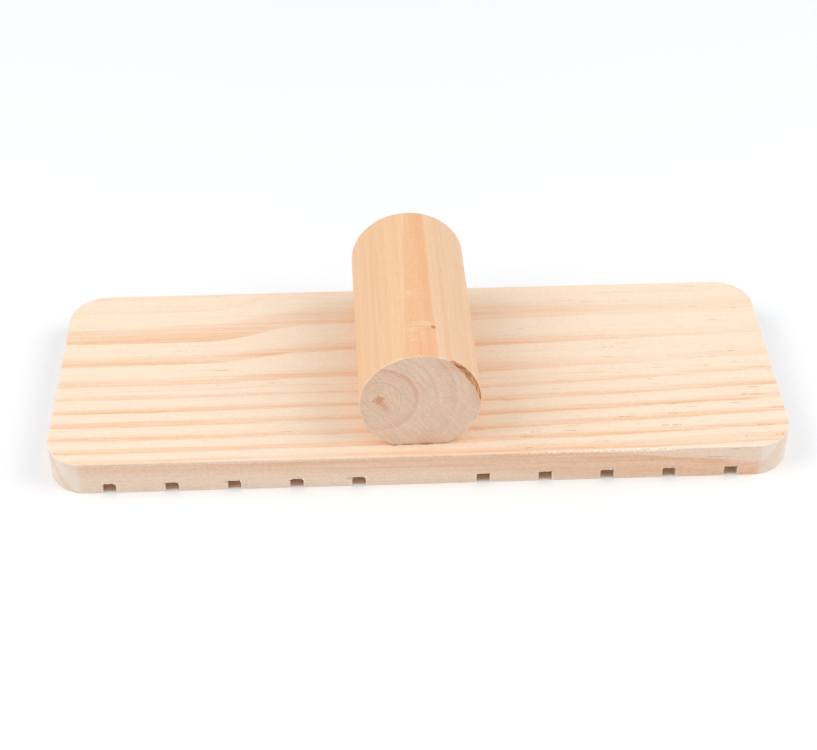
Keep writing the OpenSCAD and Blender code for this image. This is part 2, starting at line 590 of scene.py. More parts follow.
def makeBoardPine():
    material, tree, shader = newMaterial("boardPine", 0.62, 0.35)
    place, normal = millimetres(tree)
    x, y, z = splitXyz(place)
    across = boardRingPlace(place)
    fibre = placeGroup(pineFibre, place=place, canalAmount=ramp(x, -20.0, 80.0, 0.1, 0.6))
    swell = ramp(grain(place, (0.018, 0.06, 0.06), 1.0), 0.3, 0.7, 0.85, 1.15, "LINEAR")
    # the widest year, at the back, thins out past the climb
    farBack = ramp(y, 8.0, 22.0) * ramp(x, -64.0, -38.0)
    swell = swell * (1.0 - farBack * 0.28)
    bands = addBands(across, boardFigure["rings"], swell)
    bands = bands * (1.0 - farBack * 0.3)
    # the back rows lose their contrast to the right
    pale = ramp(y, -14.0, 3.0) * ramp(x, 30.0, 85.0)
    bands = bands * (1.0 - pale * 0.62)
    streaked = clamped(bands * ramp(fibre["Streaks"], 0.36, 0.64, 0.42, 1.42, "LINEAR"))
    # colour: early wood, a little pinker round the grip, then the latewood over it
    blush = ramp(abs(x - 25.0), 75.0, 15.0) * ramp(fibre["Mottle"], 0.3, 0.7, 0.0, 0.16)
    ground = mixColour(blush, boardFigure["early"], boardFigure["pink"])
    faint = ramp(fibre["Streaks"], 0.48, 0.78) * 0.28
    ground = mixColour(faint, ground, boardFigure["late"])
    wood = mixColour(streaked, ground, boardFigure["late"])
    wood = speckle(wood, fibre["Fine"], 0.972, 1.02)
    wood = speckle(wood, fibre["Ticks"], 0.90, 1.065)
    # resin canals
    dashes = None
    for middleX, middleY, halfLength, halfWidth in boardFigure["dashes"]:
        dash = placeGroup(resinDash, place=place, middleX=middleX, middleY=middleY, halfLength=halfLength,
                          halfWidth=halfWidth)["Dash"]
        dashes = dash if dashes is None else larger(dashes, dash)
    canals = larger(dashes * (z > boardTop / 2 / mm), fibre["Canals"])
    wood = mixColour(canals * boardFigure["resin"], wood, boardFigure["canal"])
    # cut ends: greyer, with the years as thin lines
    facing = splitXyz(normal)
    endOn = ramp(abs(facing[0]), 0.05, 0.2)
    sawn = placeGroup(sawnMarks, place=turned(joinXyz(y, z), boardFigure["sawAngle"]),
                      pitch=boardFigure["sawPitch"])
    endTone = mixColour(bands * 0.42, boardFigure["endGrain"], boardFigure["endLate"])
    endTone = speckle(endTone, sawn["Marks"], 0.93, 1.04)
    wood = mixColour(endOn * 0.9, wood, endTone)
    # the long edges are straight from the saw
    sideOn = ramp(abs(facing[1]), 0.45, 0.9) * (1.0 - endOn)
    sawnWood = mixColour(1.0, wood, (*boardFigure["sawn"], 1.0), "MULTIPLY")
    grit = grain(place, (1.4, 1.8, 1.8), 3.0, 0.8)
    sawnWood = speckle(sawnWood, sawn["Fuzz"], 0.95, 1.05, 0.2)
    sawnWood = speckle(sawnWood, grit, 0.91, 1.09, 0.2)
    wood = mixColour(sideOn, wood, sawnWood)
    # worn edges, and the pale torn fibres along one stretch of the front edge
    sideDistance = outlineDistance(x, y)
    faceDistance = smaller(boardTop / mm - z, z)
    wear = placeGroup(arrisWear, place=place, sideDistance=sideDistance, faceDistance=faceDistance,
                      width=0.7)["Wear"]
    wood = mixColour(wear * 0.2, wood, boardFigure["torn"])
    # pale rims round the slot mouths: partly wear, partly a painted highlight along their edges
    offSlot = calc("PINGPONG", x + slotPitch / mm / 2, slotPitch / mm / 2)
    offSlot = slotPitch / mm / 2 - offSlot
    offMouth = larger(offSlot - boardShape["Slot Width"] / mm / 2, z - boardShape["Slot Depth"] / mm)
    lastSlot = slotPitch / mm * (len(slotPlaces) + 1) / 2
    notMiddle = (abs(x) > slotPitch / mm / 2) * (abs(x) < lastSlot)
    mouthRim = ramp(offMouth, 0.45, 0.15) * sideOn * notMiddle
    wood = mixColour(mouthRim * boardFigure["mouthRim"], wood, boardFigure["torn"])
    nearArris = ramp(larger(sideDistance, boardTop / mm - z), 1.1, 0.5)
    start, rise, fall, stop = boardFigure["furryX"]
    furry = nearArris * (y < 0.0) * ramp(x, start, rise, 0.25, 1.0) * ramp(x, stop, fall)
    furry = furry * ramp(grain(place, (1.1, 2.4, 2.4), 2.0), 0.42, 0.55)
    wood = mixColour(furry * boardFigure["furry"], wood, boardFigure["torn"])
    feed(shader.inputs["Base Color"], wood)
    gloss = ramp(fibre["Fine"], 0.2, 0.8, 0.6, 0.72) - streaked * 0.08
    feed(shader.inputs["Roughness"], endOn * 0.15 + gloss)
    onEdge = ramp(abs(facing[2]), 0.7, 0.3)
    addRelief(tree, shader, [(fibre["Fine"], 0.06), (fibre["Ticks"], 0.05), (streaked, 0.03),
                             (-canals, 0.06), (sawn["Marks"] * onEdge, 0.16),
                             (sawn["Fuzz"] * onEdge, 0.12)])
    return material


boardPine = makeBoardPine()


gripFigure = {
    "pith": (-13.0, 2.0),      # across and up from the middle of the round
    # each year, by its distance from the pith: outer edge, width, darkness, fullness
    "rings": [(7.5, 2.0, 0.22, 0.8), (10.0, 1.6, 0.20, 0.8), (12.6, 1.8, 0.35, 0.8),
              (15.6, 2.0, 0.25, 0.8), (18.7, 1.8, 0.16, 0.8), (24.7, 5.0, 1.00, 0.22),
              (27.1, 1.1, 0.45, 0.8), (30.4, 2.4, 0.30, 0.8), (32.8, 1.5, 0.35, 0.8)],
    "endRings": [(1.9, 0.6, 0.3, 1.0), (3.2, 0.8, 0.35, 1.0), (4.6, 0.7, 0.4, 1.0),
                 (6.0, 0.8, 0.35, 1.0), (7.5, 1.0, 0.55, 0.8), (8.9, 0.8, 0.35, 0.8),
                 (10.3, 0.8, 0.35, 0.8), (12.6, 1.5, 1.0, 0.6), (14.6, 0.9, 0.25, 0.8),
                 (16.4, 0.9, 0.30, 0.8), (18.7, 1.0, 0.30, 0.8), (21.4, 1.2, 0.25, 0.8),
                 (24.7, 2.6, 0.40, 0.6), (27.1, 1.1, 0.25, 0.8), (30.4, 1.4, 0.20, 0.8)],
    "early": srgb(244, 203, 162),
    "late": srgb(236, 179, 133),
    "cool": srgb(237, 203, 170),
    "end": srgb(232, 203, 179),
    "endLate": srgb(213, 156, 117),
    "heart": srgb(200, 128, 74),
    # dark brown of the broken rim, standing also for its shade; the resin spot uses it too
    "torn": srgb(148, 86, 46),
    "tornPale": srgb(224, 164, 114),
    "canal": srgb(206, 140, 84),
    "scuff": srgb(250, 232, 206),
    # pale scuffs across the top: middle along the grip, half length from faint to full, strength
    "scuffs": [(-6.8, 3.2, 1.6, 0.75), (-26.0, 6.5, 3.0, 1.0)],
    "scuffX": (0.8, 4.6, 2.6),        # the same across it: middle, and half width from faint to full
    "resinSpot": (5.0, -23.6, 1.0, 0.45),     # across, along, outer and inner radius
    "bruise": (5.0, 14.0, 28.0, 38.0),        # how far round the rim: start, full, full, end
    "sawAngle": 55,
    "sawPitch": 0.85,
}
# the broken rim, in degrees from +X and in millimetres
tear = {"from": -6.0, "to": 68.0, "peak": 33.0, "width": 1.6, "depth": 0.9}


def tearWidth(angle):
    # how far the broken rim reaches in, in millimetres, at an angle in degrees from +X
    if not tear["from"] < angle < tear["to"]:
        return 0.0
    half = (angle - tear["from"]) / (tear["peak"] - tear["from"])
    if angle > tear["peak"]:
        half = (tear["to"] - angle) / (tear["to"] - tear["peak"])
    return tear["width"] * half * half * (3 - 2 * half)


def makeGripPine():
    material, tree, shader = newMaterial("gripPine", 0.55, 0.4)
    place, normal = millimetres(tree)
    # places in the grip's own frame: its axis along Y, the origin in its middle
    local = filled(tree, "ShaderNodeMapping", {
        "Vector": place, "Location": gripCentre / mm, "Rotation": (0, 0, gripSkew)},
        vector_type="TEXTURE")
    x, y, z = splitXyz(local.outputs[0])
    pithX, pithZ = gripFigure["pith"]
    wander = cloud(joinXyz(x * 0.05, y * 0.012, z * 0.05), 1.0, 2.0)
    fromX = x - pithX
    fromZ = z - pithZ
    radius = hypotenuse(fromX, fromZ)
    radius = (wander - 0.5) * 1.4 + radius
    inward = -radius
    rings = [(-edge, soft, depth, body) for edge, soft, depth, body in gripFigure["rings"]]
    along = joinXyz(y, x, z)
    swell = ramp(grain(along, (0.02, 0.05, 0.05), 1.0), 0.3, 0.7, 0.8, 1.2, "LINEAR")
    swell = swell - y * 0.008
    bands = addBands(inward, rings, swell, crisp=0.3)
    endRings = [(-edge, soft, depth, body) for edge, soft, depth, body in gripFigure["endRings"]]
    endBands = addBands(inward, endRings, swell, crisp=0.22)
    fibre = placeGroup(pineFibre, place=along, canalAmount=0.25)
    streaked = clamped(bands * ramp(fibre["Streaks"], 0.3, 0.7, 0.75, 1.2, "LINEAR"))
    cool = ramp(radius, 24.5, 25.2) * 0.75
    ground = mixColour(cool, gripFigure["early"], gripFigure["cool"])
    faint = ramp(fibre["Streaks"], 0.44, 0.72) * 0.38
    ground = mixColour(faint, ground, gripFigure["late"])
    wood = mixColour(streaked * 0.8, ground, gripFigure["late"])
    wood = speckle(wood, fibre["Fine"], 0.95, 1.03)
    wood = speckle(wood, fibre["Ticks"], 0.90, 1.06)
    wood = mixColour(fibre["Canals"] * 0.4, wood, gripFigure["canal"])
    # plain pale scuffs on top, worn across the grain
    middle, faint, full = gripFigure["scuffX"]
    topHere = ramp(abs(x - middle), faint, full)
    near = [ramp(abs(y - middle), faint, full, 0.0, strength)
            for middle, faint, full, strength in gripFigure["scuffs"]]
    rub = cloud(joinXyz(x * 0.09, y, 0.0), 1.0, 2.0, 0.6)
    worn = cloud(joinXyz(x * 0.1, y * 0.12, 4.0), 1.0, 1.0)
    scuff = topHere * larger(*near) * ramp(rub, 0.46, 0.64) * ramp(worn, 0.28, 0.48)
    wood = mixColour(scuff * 0.5, wood, gripFigure["scuff"])
    # one small resin spot
    spotX, spotY, outer, inner = gripFigure["resinSpot"]
    resin = ramp(hypotenuse(x - spotX, y - spotY), outer, inner) * (z > 0.0)
    wood = mixColour(resin * 0.65, wood, gripFigure["torn"])
    # sawn ends
    facing = vectorMath("DOT_PRODUCT", normal, gripTurn.to_3x3() @ Vector((0, 1, 0)))
    endOn = ramp(abs(facing), 0.45, 0.8)
    sawn = placeGroup(sawnMarks, place=turned(joinXyz(x, z), gripFigure["sawAngle"]),
                      pitch=gripFigure["sawPitch"])
    ringShare = endBands * ramp(sawn["Fuzz"], 0.3, 0.7, 0.25, 0.95, "LINEAR")
    ringShare = ringShare * ramp(fromZ, -8.0, 8.0, 0.5, 1.1)
    endWood = mixColour(ringShare, gripFigure["end"], gripFigure["endLate"])
    endWood = speckle(endWood, sawn["Marks"], 0.89, 1.07)
    endGrit = cloud(joinXyz(x, z, 0.0), 1.3, 3.0, 0.75)
    endWood = speckle(endWood, endGrit, 0.89, 1.09, 0.2)
    patch = cloud(joinXyz(x, z, 3.0), 0.22, 2.0, 0.6)
    endWood = mixColour(ramp(patch, 0.40, 0.70, 0.0, 0.16), endWood, gripFigure["endLate"])
    endWood = mixColour(ramp(radius, 12.6, 11.0, 0.0, 0.08), endWood, gripFigure["endLate"])
    # the pith, with a brown trail down to the right of it
    ragged = cloud(joinXyz(x, z, 0.0), 0.9, 3.0, 0.7) * 4.2 - 2.1
    heart = ramp(radius + ragged, 2.2, 0.6)
    trailAcross = abs(fromX * 0.86 + fromZ * 0.5)
    trailDown = fromX * 0.5 - fromZ * 0.86
    trail = ramp(trailDown, -1.0, 0.5) * ramp(trailDown, 8.0, 3.0)
    trail = trail * ramp(trailAcross + ragged * 0.4, 1.5, 0.2)
    brown = larger(heart * 0.68, trail * 0.42)
    endWood = mixColour(brown, endWood, gripFigure["heart"])
    # the front end is browner beside the broken rim
    fromAxis = hypotenuse(x, z)
    roundRim = calc("ARCTAN2", x, z) * (gripRadius / mm)
    start, rise, fall, stop = gripFigure["bruise"]
    bruise = ramp(roundRim, start, rise) * ramp(roundRim, stop, fall) * (y < 0.0)
    bruise = bruise * ramp(fromAxis, gripRadius / mm - 4.0, gripRadius / mm - 1.0)
    bruise = bruise * ramp(endGrit, 0.35, 0.6, 0.35, 1.0)
    endWood = mixColour(bruise * 0.5, endWood, gripFigure["endLate"])
    wood = mixColour(endOn, wood, endWood)
    # the broken rim is painted dark brown and fibrous: torn fibres, with painted shade that deepens away
    # from the end face
    tornPlace = addNode(tree, "ShaderNodeAttribute", attribute_name="torn")
    tornEdge = ramp(tornPlace.outputs["Fac"], 0.15, 0.6)
    shreds = joinXyz(fromAxis * 3.4, roundRim * 0.35, y * 0.9)
    faceDistance = gripLength / 2 / mm - abs(y)
    tornFibreAndShade = ramp(cloud(shreds, 1.0, 3.0, 0.7), 0.38, 0.6) * ramp(faceDistance, 0.2, 1.1, 1.0, 0.35)
    tornWoodAndShade = mixColour(tornFibreAndShade, gripFigure["torn"], gripFigure["tornPale"])
    wood = mixColour(tornEdge, wood, tornWoodAndShade)
    # rubbed rims
    sideDistance = gripRadius / mm - fromAxis
    wear = placeGroup(arrisWear, place=place, sideDistance=sideDistance, faceDistance=faceDistance,
                      width=0.6)["Wear"]
    untorn = 0.35 - tornEdge * 0.35
    wood = mixColour(wear * untorn, wood, gripFigure["scuff"])
    feed(shader.inputs["Base Color"], wood)
    rough = ramp(fibre["Fine"], 0.2, 0.8, 0.50, 0.62)
    feed(shader.inputs["Roughness"], endOn * 0.2 + rough)
    addRelief(tree, shader, [(fibre["Fine"], 0.04), (streaked, 0.02), (scuff, -0.04), (resin, -0.1),
                             (sawn["Marks"] * endOn, 0.22), (sawn["Fuzz"] * endOn, 0.08)])
    return material


gripPine = makeGripPine()


def makeGlueWithPaintedShade():
    material, tree, shader = newMaterial("driedGlue", 0.45, 0.5)
    place, _ = millimetres(tree)
    lumps = cloud(place, 0.8, 3.0, 0.6)
    # the brown is darker than the glue alone: it also paints the shade along the grip's foot
    brown = mixColour(ramp(lumps, 0.3, 0.7), srgb(176, 116, 76), srgb(206, 152, 108))
    feed(shader.inputs["Base Color"], brown)
    feed(shader.inputs["Roughness"], ramp(lumps, 0.3, 0.7, 0.35, 0.6))
    addRelief(tree, shader, [(lumps, 0.2)])
    return material


def makeZinc():
    material, tree, shader = newMaterial("zincPlate", 0.34, 0.5)
    place, _ = millimetres(tree)
    shader.inputs["Metallic"].default_value = 1.0
    blotch = cloud(place, 1.1, 4.0, 0.6)
    brushed = grain(place, (6.0, 0.9, 6.0), 3.0, 0.7)
    tone = mixColour(ramp(blotch, 0.35, 0.7), srgb(206, 208, 210), srgb(176, 178, 176))
    feed(shader.inputs["Base Color"], tone)
    feed(shader.inputs["Roughness"], ramp(brushed, 0.25, 0.75, 0.26, 0.48))
    addRelief(tree, shader, [(blotch, 0.03), (brushed, 0.02)])
    return material


driedGlue = makeGlueWithPaintedShade()
zincPlate = makeZinc()
print("materials made")


screwBoxes = [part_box("front_screw"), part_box("rear_screw")]
screwPlaces = [((low.x + high.x) / 2, (low.y + high.y) / 2) for low, high in screwBoxes]
screwSpacing = screwPlaces[1][1] - screwPlaces[0][1]


def makeBoardTree():
    # a rounded plate, less a row of slots and two countersunk holes
    tree, given, end = newTree(
        "slottedBoard",
        "Length, Width, Thickness, Corner Radius, Slot Pitch, Slot Width, Slot Depth, Worn Corner, "
        "Crisp Corner, Screw Spacing, Hole Diameter, Head Diameter, Head Rim, Head Cone, Head Sink",
        {"Slots Per Side": "Int", "Seed": "Int"})

    def solid(outline, height):
        # a flat outline pushed up into a closed block
        flat = geo(tree, "FillCurve", {0: outline}, mode="NGONS")
        pushed = geo(tree, "ExtrudeMesh", {0: flat, "Offset Scale": height, "Individual": False})
        underside = geo(tree, "FlipFaces", {0: flat})
        return geo(tree, "MergeByDistance", {0: gather(tree, pushed, underside), "Distance": 1e-6})

    outline = geo(tree, "CurvePrimitiveQuadrilateral", {0: given["Length"], 1: given["Width"]})
    outline = geo(tree, "FilletCurve", {0: outline, "Count": boardEdges["cornerSteps"],
                                      "Radius": given["Corner Radius"]}, mode="POLY")
    plate = solid(outline, given["Thickness"])

    # slots: one rounded profile on each point of a line, with the middle point left out
    reach = given["Slot Pitch"] * given["Slots Per Side"]
    count = given["Slots Per Side"] * 2.0 + 1.0
    line = geo(tree, "MeshLine", {"Count": count, "Start Location": joinXyz(-reach),
                                  "Offset": joinXyz(given["Slot Pitch"])})
    x = splitXyz(geo(tree, "InputPosition"))[0]
    middle = abs(x) < given["Slot Pitch"] * 0.5
    line = geo(tree, "DeleteGeometry", {0: line, "Selection": middle}, domain="POINT")
    doubleDepth = given["Slot Depth"] * 2.0
    profile = geo(tree, "CurvePrimitiveQuadrilateral", {0: given["Slot Width"], 1: doubleDepth})
    most = boardEdges["slotLean"]
    lean = randomVector(tree, (0, 0, -most), (0, 0, most), given["Seed"])
    size = randomVector(tree, *boardEdges["slotScale"], given["Seed"] + 1.0)
    cuts = geo(tree, "InstanceOnPoints", {
        "Points": line, "Instance": profile, "Rotation": lean, "Scale": size})
    cuts = geo(tree, "RealizeInstances", {0: cuts})
    rounding = ramp(x < 0.0, 0.0, 1.0, given["Crisp Corner"], given["Worn Corner"], "LINEAR")
    cuts = geo(tree, "FilletCurve", {0: cuts, "Count": boardEdges["slotCornerSteps"],
                                     "Radius": rounding, "Limit Radius": True}, mode="POLY")
    through = given["Width"] * 1.2
    slots = geo(tree, "Transform", {0: solid(cuts, through), "Rotation": (math.pi / 2, 0, 0),
                                    "Translation": joinXyz(0.0, through * 0.5, 0.0)})

    # holes: rim, cone and shank of the countersink, at both screws
    headRadius = given["Head Diameter"] * 0.5
    holeRadius = given["Hole Diameter"] * 0.5
    rimTop = given["Head Sink"] + given["Head Rim"]
    sides = boardEdges["holeSides"]
    rim = cylinder(tree, sides, headRadius, rimTop * 2.0)
    cone = taperedCone(tree, sides, headRadius, holeRadius, given["Head Cone"])
    shank = cylinder(tree, sides, holeRadius, given["Thickness"] * 3.0)
    cut = cutOut(tree, plate, slots)
    for shape in (rim, lift(tree, cone, rimTop), shank):
        cut = cutOut(tree, cut, atScrews(tree, given["Screw Spacing"], shape))
    closeTree(tree, end, cut, given["Material"])
    return tree


def makeChipTree():
    # small splintered bites taken out of a piece, at the points of another mesh
    tree, given, end = newTree("chippedEdges", "Roughness", {"Sites": "Object", "Seed": "Int"})
    stone = geo(tree, "MeshIcoSphere", {"Radius": 1.0, "Subdivisions": 2})
    reach = geo(tree, "InputNamedAttribute", {"Name": "reach"}, data_type="FLOAT_VECTOR")
    turn = randomVector(tree, (-0.5, -0.25, -0.12), (0.5, 0.25, 0.12), given["Seed"])
    bites = geo(tree, "InstanceOnPoints", {
        "Points": shapeOf(tree, given["Sites"]), "Instance": stone, "Rotation": turn, "Scale": reach})
    bites = geo(tree, "RealizeInstances", {0: bites})
    # each bite is roughened by noise, more across the grain than along it
    place = stretch(geo(tree, "InputPosition"), (700.0, 2400.0, 2400.0))
    shake = filled(tree, "ShaderNodeTexNoise", {"Vector": place, "Scale": 1.0}).outputs["Color"]
    centred = vectorMath("SUBTRACT", shake, (0.5, 0.5, 0.5))
    push = vectorMath("SCALE", centred, given["Roughness"])
    bites = geo(tree, "SetPosition", {0: bites, "Offset": push})
    cut = cutOut(tree, given["Geometry"], bites, tangled=True)
    closeTree(tree, end, cut, given["Material"])
    return tree


def pointMesh(name, points, **vectors):
    # a helper object of loose points, with a vector attribute for each name given
    mesh = bpy.data.meshes.new(name)
    mesh.from_pydata([tuple(p) for p in points], [], [])
    for label, values in vectors.items():
        layer = mesh.attributes.new(label, "FLOAT_VECTOR", "POINT")
        layer.data.foreach_set("vector", [c for v in values for c in v])
    return newPiece(name, mesh)


chips = {
    "seed": 11,
    "turnSeed": 3,
    "roughness": 0.35 * mm,
    # start and end along X, how many, and their size: half length, half depth in Y, half height in Z
    "frontRuns": [(20, 52, 14, (0.9, 0.16, 0.22)), (55, 81, 26, (0.9, 0.28, 0.40)),
                  (-50, 15, 7, (0.8, 0.10, 0.14)), (84, 106, 5, (0.7, 0.12, 0.16)),
                  (-104, -55, 5, (0.8, 0.10, 0.14))],
    "backRuns": [(-105, 105, 20, (0.9, 0.13, 0.17))],
    "slotBites": 3,               # small bites at each end of each slot
    # slots with an upper corner broken off: where along X and how big
    "bigBites": {0: (-2.1, 0.55), 1: (-2.1, 0.6), 2: (-2.2, 1.0), 3: (-2.1, 0.6), 4: (-2.7, 1.5),
                 6: (-2.0, 0.45)},
    "bigHeight": 0.86,            # their height, as a share of the slot's depth
    "bigDepth": 0.9 * mm,
}


def chipSites():
    draw = random.Random(chips["seed"])
    points, reaches = [], []

    def drawn(*spans):
        # one random length in millimetres from each span
        return [draw.uniform(low, high) * mm for low, high in spans]

    for runs, edge in ((chips["frontRuns"], boardLow.y), (chips["backRuns"], boardHigh.y)):
        for start, stop, count, size in runs:
            for _ in range(count):
                grow = draw.uniform(0.5, 1.5)
                along, down = drawn((start, stop), (-0.05, 0.1))
                points.append((along, edge, boardTop - down))
                reaches.append([s * grow * draw.uniform(0.7, 1.3) * mm for s in size])
    depth, half = boardShape["Slot Depth"], boardShape["Slot Width"] / 2
    for number, middle in enumerate(slotPlaces):
        for edge in (boardLow.y, boardHigh.y):
            for _ in range(chips["slotBites"]):
                along = draw.uniform(-1.0, 1.0) * half
                points.append((middle + along, edge, depth * draw.uniform(0.98, 1.05)))
                reaches.append(drawn((0.25, 0.6), (0.3, 0.8), (0.12, 0.3)))
            for side in (-1, 1):
                points.append((middle + side * half, edge, draw.uniform(0.1, 0.95) * depth))
                reaches.append(drawn((0.12, 0.28), (0.2, 0.5), (0.2, 0.5)))
        if number in chips["bigBites"]:
            offset, size = chips["bigBites"][number]
            points.append((middle + offset * mm, boardLow.y, depth * chips["bigHeight"]))
            reaches.append([size * mm, chips["bigDepth"], size * 0.6 * mm])
    return pointMesh("chip_sites", points, reach=reaches)


def makeWhiskerTree():
    # loose fibres: each edge path of another mesh becomes a thin tapering hair on the piece
    tree, given, end = newTree("looseFibres", "Thickness", {"Paths": "Object"})
    curves = geo(tree, "MeshToCurve", {0: shapeOf(tree, given["Paths"])})
    profile = geo(tree, "CurvePrimitiveCircle", {"Resolution": 5, "Radius": 1.0})
    taper = ramp(geo(tree, "SplineParameter"), 1.0, 0.2, 0.25, 1.0)
    hairs = swept(tree, curves, profile, given["Thickness"] * taper, closed=True)
    closeTree(tree, end, gather(tree, hairs, given["Geometry"]), given["Material"])
    return tree


whiskers = {
    "seed": 5,
    "thick": 0.055 * mm,
    "perMouth": 3,
    "arris": (22, 80, 30),        # start and end along the top front edge, and how many
    "steps": 6,
}


def whiskerPaths():
    # short curved paths in the slot mouths and in the top front edge's nicks, inside the board's box
    draw = random.Random(whiskers["seed"])
    thick = whiskers["thick"]
    points, edges = [], []

    def grow(start, step, bend):
        place = Vector(start)
        step = Vector(step)
        for i in range(whiskers["steps"]):
            kept = place.copy()
            kept.y = min(max(kept.y, boardLow.y + thick), boardHigh.y - thick)
            kept.z = min(max(kept.z, 0.1 * mm), boardTop - thick)
            points.append(kept)
            if i:
                edges.append((len(points) - 2, len(points) - 1))
            place += step
            step += Vector(bend)

    half, depth = boardShape["Slot Width"] / 2, boardShape["Slot Depth"]
    for middle in slotPlaces:
        for edge, inward in ((boardLow.y, 1), (boardHigh.y, -1)):
            for _ in range(whiskers["perMouth"]):
                side = draw.choice((-1, 1))
                size = draw.uniform(0.10, 0.24) * mm
                y = edge + inward * draw.uniform(0.1, 0.9) * mm
                if draw.random() < 0.5:
                    start = (middle + side * (half + 0.1 * mm), y, draw.uniform(0.3, 0.9) * depth)
                    step = (-side * size, draw.uniform(-0.3, 0.3) * size, draw.uniform(-0.6, 0.3) * size)
                else:
                    start = (middle + draw.uniform(-0.9, 0.9) * half, y, depth + 0.1 * mm)
                    step = (draw.uniform(-0.8, 0.8) * size, draw.uniform(-0.3, 0.3) * size, -size * 0.8)
                grow(start, step, [draw.uniform(-0.12, 0.12) * size for _ in range(3)])
    first, last, count = whiskers["arris"]
    for _ in range(count):
        size = draw.uniform(0.10, 0.30) * mm
        start = (draw.uniform(first, last) * mm, boardLow.y + draw.uniform(0.18, 0.35) * mm,
                 boardTop - draw.uniform(0.18, 0.4) * mm)
        step = (draw.choice((-1, 1)) * size, -size * draw.uniform(0.05, 0.3),
                size * draw.uniform(-0.25, 0.2))
        grow(start, step, (0.0, size * 0.04, 0.0))
    mesh = bpy.data.meshes.new("whisker_paths")
    mesh.from_pydata([tuple(p) for p in points], edges, [])
    return newPiece("whisker_paths", mesh)


def makeBoard():
    piece = newPiece("pine_board")
    addTree(piece, makeBoardTree(), {
        **boardShape, "Length": boardSize.x, "Width": boardSize.y, "Thickness": boardSize.z,
        "Slot Pitch": slotPitch, "Slots Per Side": len(slotPlaces) // 2, "Screw Spacing": screwSpacing,
        "Head Sink": screwBoxes[0][0].z, "Material": boardPine})
    ease = piece.modifiers.new("easedEdges", "BEVEL")
    ease.width = boardEdges["eased"]
    ease.segments = 2
    ease.limit_method = "ANGLE"
    ease.angle_limit = math.radians(boardEdges["easedAngle"])
    ease.use_clamp_overlap = True
    sites = chipSites()
    addTree(piece, makeChipTree(), {"Sites": sites, "Roughness": chips["roughness"],
                                    "Seed": chips["turnSeed"], "Material": boardPine})
    paths = whiskerPaths()
    addTree(piece, makeWhiskerTree(), {"Paths": paths, "Thickness": whiskers["thick"],
                                       "Material": boardPine})
    settle(piece, boardEdges["smoothAngle"])
    bpy.data.objects.remove(sites)
    bpy.data.objects.remove(paths)
    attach(piece, "root")
    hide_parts("board")


makeBoard()


gripShape = {
    "stepAngle": 1.0,             # degrees from one point round the section to the next
    "flatSteps": 20,
    "rim": 0.45 * mm,             # how much the sawn rims are eased
    "facet": 0.05 * mm,           # flats left by hand sanding
    # distances of the cross sections from each end, close together at the rim
    "rows": [0.0, 0.08, 0.18, 0.32, 0.5, 0.72, 1.0, 1.3, 1.6, 2.0, 2.6, 3.4, 5.0],
    "bodyRows": 26,
    "border": 0.12 * mm,
    "holeRadius": 1.75 * mm,
    "holeDepth": 22 * mm,
    "holeStart": 1 * mm,          # the drill starts this far below the flat
    "fullTorn": 0.35 * mm,        # where this much is broken off, the torn colour is full
    "smoothAngle": 24,
}


def rimDrop(nearEnd):
    # how far the eased rim lies inside the round, at a distance from the end
    ease = gripShape["rim"]
    if nearEnd >= ease:
        return 0.0
    return 0.6 * (ease - math.sqrt(max(ease ** 2 - (ease - nearEnd) ** 2, 0.0)))


def tornAway(angle, along):
    # how much of the front rim is broken off, at an angle in degrees and a distance from the front
    if along >= tear["depth"] * 2 * mm:
        return 0.0
    ragged = 1 + 0.45 * noise.noise(Vector((angle * 0.22, 0.0, 7.7)))
    ragged += 0.22 * noise.noise(Vector((angle * 0.9, along / mm * 0.7, 1.7)))
    share = max(0.0, 1 - along / (tear["depth"] * ragged * mm)) ** 0.8
    return tearWidth(angle) * max(ragged, 0.25) * share * mm


def gripLoops(mesh, torn):
    # rings of points round the section, from the front end to the rear
    rows = [r * mm for r in gripShape["rows"]]
    inner = gripLength - 2 * rows[-1]
    count = gripShape["bodyRows"]
    stations = rows + [rows[-1] + inner * (i + 1) / count for i in range(count - 1)]
    stations += [gripLength - r for r in reversed(rows)]
    flatHeight = gripHeight - gripRadius
    startAngle = -math.degrees(math.acos(flatHalf / gripRadius))
    sweep = 180 - 2 * startAngle
    steps = round(sweep / gripShape["stepAngle"])
    loops = []
    for along in stations:
        drop = rimDrop(min(along, gripLength - along))
        y = along - gripLength / 2
        loop = []
        for i in range(steps + gripShape["flatSteps"]):
            broken = 0.0
            if i <= steps:
                angle = startAngle + sweep * i / steps
                wide, high = math.cos(math.radians(angle)), math.sin(math.radians(angle))
                facet = noise.noise(Vector((angle * 0.045, along / mm * 0.02, 3.1)))
                broken = tornAway(angle, along)
                radius = gripRadius - drop - gripShape["facet"] * (0.5 + 0.5 * facet) - broken
                place = Vector((wide * radius, y, max(high * radius, -flatHeight)))
            else:
                t = (i - steps) / gripShape["flatSteps"]
                x = (2 * t - 1) * flatHalf * (1 - drop / gripRadius)
                place = Vector((x, y, -flatHeight))
            vert = mesh.verts.new(gripPlace @ place)
            vert[torn] = min(1.0, broken / gripShape["fullTorn"])
            loop.append(vert)
        loops.append(loop)
    return loops


def band(mesh, near, far):
    # faces between two rings of points
    for i in range(len(near)):
        j = (i + 1) % len(near)
        mesh.faces.new((near[i], near[j], far[j], far[i]))


